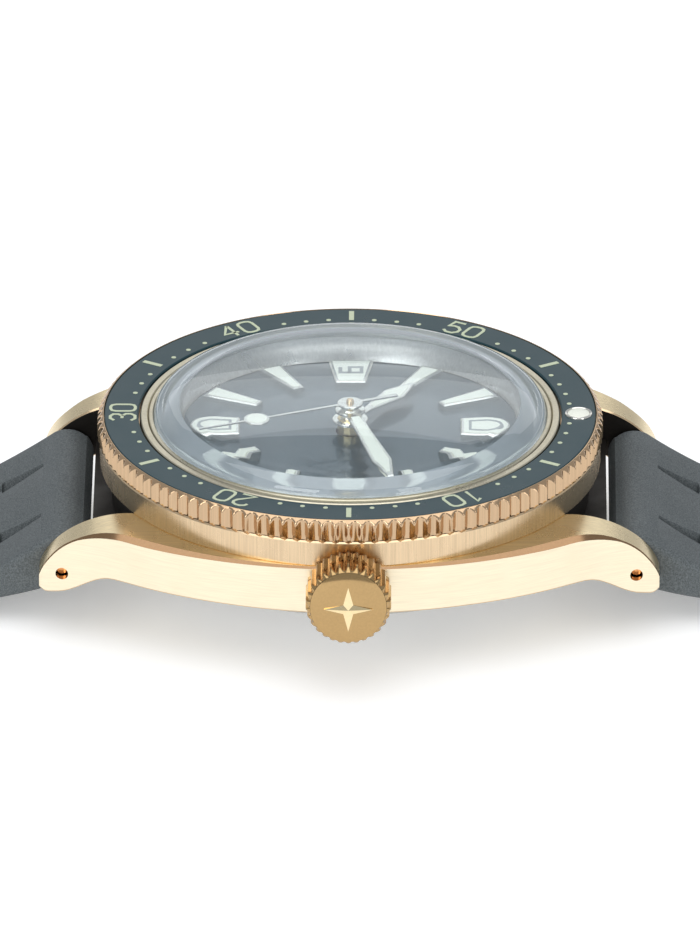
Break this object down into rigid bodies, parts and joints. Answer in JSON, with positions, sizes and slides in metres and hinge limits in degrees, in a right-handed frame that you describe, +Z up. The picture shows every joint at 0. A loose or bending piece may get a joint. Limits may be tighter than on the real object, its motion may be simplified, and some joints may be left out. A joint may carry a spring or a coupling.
{
  "type": "dive watch",
  "caption": "Dive watch with a rotating timing bezel, domed crystal, screw-down style crown and a rubber strap with pin buckle, laid open.",
  "frame": {"origin": "centre of the case back's flat outer face", "axes": "+Z up through the dial, +Y towards 12 o'clock along the strap, +X towards 3 o'clock and the crown"},
  "size_m": [0.044, 0.2416, 0.016],
  "materials": {
    "bronze": "brushed, with polished bevels",
    "bezel_bronze": "polished",
    "steel": "fine brushed",
    "brass": "satin",
    "blue_enamel": "satin",
    "dial_paint": "gloss, radially brushed beneath",
    "lume": "matte",
    "rubber": "matte with a fine grain",
    "seal_rubber": "matte",
    "nylon": "matte",
    "glass": "clear"
  },
  "bodies": {
    "case": {"mid_case": "bronze", "case_back": "steel", "case_back_gasket": "seal_rubber", "bezel_click_spring": "steel", "crystal": "glass", "crystal_gasket": "nylon", "rehaut_ring": "steel", "crown_tube": "steel", "dial": "dial_paint", "hour_marker_01": "steel", "hour_marker_02": "steel", "hour_marker_03": "steel", "hour_marker_04": "steel", "hour_marker_05": "steel", "hour_marker_06": "steel", "hour_marker_07": "steel", "hour_marker_08": "steel", "hour_marker_09": "steel", "hour_marker_10": "steel", "hour_marker_11": "steel", "hour_marker_12": "steel", "movement_holder": "nylon", "main_plate": "brass", "train_bridge": "steel", "balance_cock": "steel", "hairspring": "steel", "rotor_bearing": "steel", "spring_bar_12": "steel", "spring_bar_6": "steel"},
    "bezel": {"bezel_ring": "bezel_bronze", "bezel_insert": "blue_enamel", "bezel_pip": "lume"},
    "crown_slider": {"crown_gasket": "seal_rubber"},
    "crown": {"crown": "bronze", "winding_stem": "steel"},
    "seconds": {"fourth_wheel": "brass", "seconds_hand": "steel"},
    "minutes": {"centre_wheel": "brass", "cannon_pinion": "steel", "minute_hand": "steel"},
    "hours": {"hour_wheel": "brass", "hour_hand": "steel"},
    "minute_wheel": {"minute_wheel": "brass"},
    "third_wheel": {"third_wheel": "brass"},
    "escape_wheel": {"escape_wheel": "steel"},
    "barrel": {"barrel": "brass"},
    "pallet_fork": {"pallet_fork": "steel"},
    "balance": {"balance_wheel": "brass"},
    "rotor": {"rotor": "steel"},
    "strap_12": {"strap_12": "rubber", "keeper_fixed": "rubber", "buckle_bar": "steel"},
    "strap_6": {"strap_6": "rubber"},
    "keeper_free": {"keeper_free": "rubber"},
    "buckle": {"buckle_frame": "bronze"},
    "tongue": {"buckle_tongue": "bronze"}
  },
  "joints": [
    {"name": "bezel_turn", "type": "hinge", "parent": "case", "child": "bezel", "pos_m": [0, 0, 0], "axis": [0, 0, 1], "continuous": true},
    {"name": "crown_pull", "type": "slide", "parent": "case", "child": "crown_slider", "axis": [1, 0, 0], "range_m": [0, 0.0015]},
    {"name": "crown_turn", "type": "hinge", "parent": "crown_slider", "child": "crown", "pos_m": [0, 0, 0.0047], "axis": [1, 0, 0], "continuous": true},
    {"name": "seconds_turn", "type": "hinge", "parent": "case", "child": "seconds", "pos_m": [0, 0, 0], "axis": [0, 0, 1], "continuous": true},
    {"name": "minutes_turn", "type": "hinge", "parent": "case", "child": "minutes", "pos_m": [0, 0, 0], "axis": [0, 0, 1], "continuous": true},
    {"name": "hours_turn", "type": "hinge", "parent": "case", "child": "hours", "pos_m": [0, 0, 0], "axis": [0, 0, 1], "continuous": true},
    {"name": "minute_wheel_turn", "type": "hinge", "parent": "case", "child": "minute_wheel", "pos_m": [0.0023, 0.00193, 0], "axis": [0, 0, 1], "continuous": true},
    {"name": "third_wheel_turn", "type": "hinge", "parent": "case", "child": "third_wheel", "pos_m": [-0.00157, -0.00432, 0], "axis": [0, 0, 1], "continuous": true},
    {"name": "escape_wheel_turn", "type": "hinge", "parent": "case", "child": "escape_wheel", "pos_m": [0.00398, -0.0023, 0], "axis": [0, 0, 1], "continuous": true},
    {"name": "barrel_turn", "type": "hinge", "parent": "case", "child": "barrel", "pos_m": [-0.00115, 0.0065, 0], "axis": [0, 0, 1], "continuous": true},
    {"name": "fork_rock", "type": "hinge", "parent": "case", "child": "pallet_fork", "pos_m": [0.00611, -0.00352, 0], "axis": [0, 0, 1], "range_deg": [-4, 4]},
    {"name": "balance_swing", "type": "hinge", "parent": "case", "child": "balance", "pos_m": [0.00779, -0.0045, 0], "axis": [0, 0, 1], "range_deg": [-135, 135], "stiffness_Nm_per_rad": 0.0000003},
    {"name": "rotor_turn", "type": "hinge", "parent": "case", "child": "rotor", "pos_m": [0, 0, 0], "axis": [0, 0, 1], "continuous": true},
    {"name": "strap_12_pivot", "type": "hinge", "parent": "case", "child": "strap_12", "pos_m": [0, 0.0226, 0.0022], "axis": [1, 0, 0], "range_deg": [-65, 0]},
    {"name": "strap_6_pivot", "type": "hinge", "parent": "case", "child": "strap_6", "pos_m": [0, -0.0226, 0.0022], "axis": [1, 0, 0], "range_deg": [0, 65]},
    {"name": "keeper_slide", "type": "slide", "parent": "strap_12", "child": "keeper_free", "axis": [0, 1, 0], "range_m": [-0.018, 0.007]},
    {"name": "buckle_pivot", "type": "hinge", "parent": "strap_12", "child": "buckle", "pos_m": [0, 0.0946, -0.001], "axis": [1, 0, 0], "range_deg": [-60, 30]},
    {"name": "tongue_pivot", "type": "hinge", "parent": "buckle", "child": "tongue", "pos_m": [0, 0.0946, -0.001], "axis": [1, 0, 0], "range_deg": [0, 80]}
  ],
  "couplings": [
    {"joint": "minutes_turn", "follows": "seconds_turn", "ratio": 0.016667},
    {"joint": "hours_turn", "follows": "seconds_turn", "ratio": 0.0013889},
    {"joint": "minute_wheel_turn", "follows": "seconds_turn", "ratio": -0.0055556},
    {"joint": "third_wheel_turn", "follows": "seconds_turn", "ratio": -0.13333},
    {"joint": "escape_wheel_turn", "follows": "seconds_turn", "ratio": -10},
    {"joint": "barrel_turn", "follows": "seconds_turn", "ratio": -0.0027778}
  ]
}
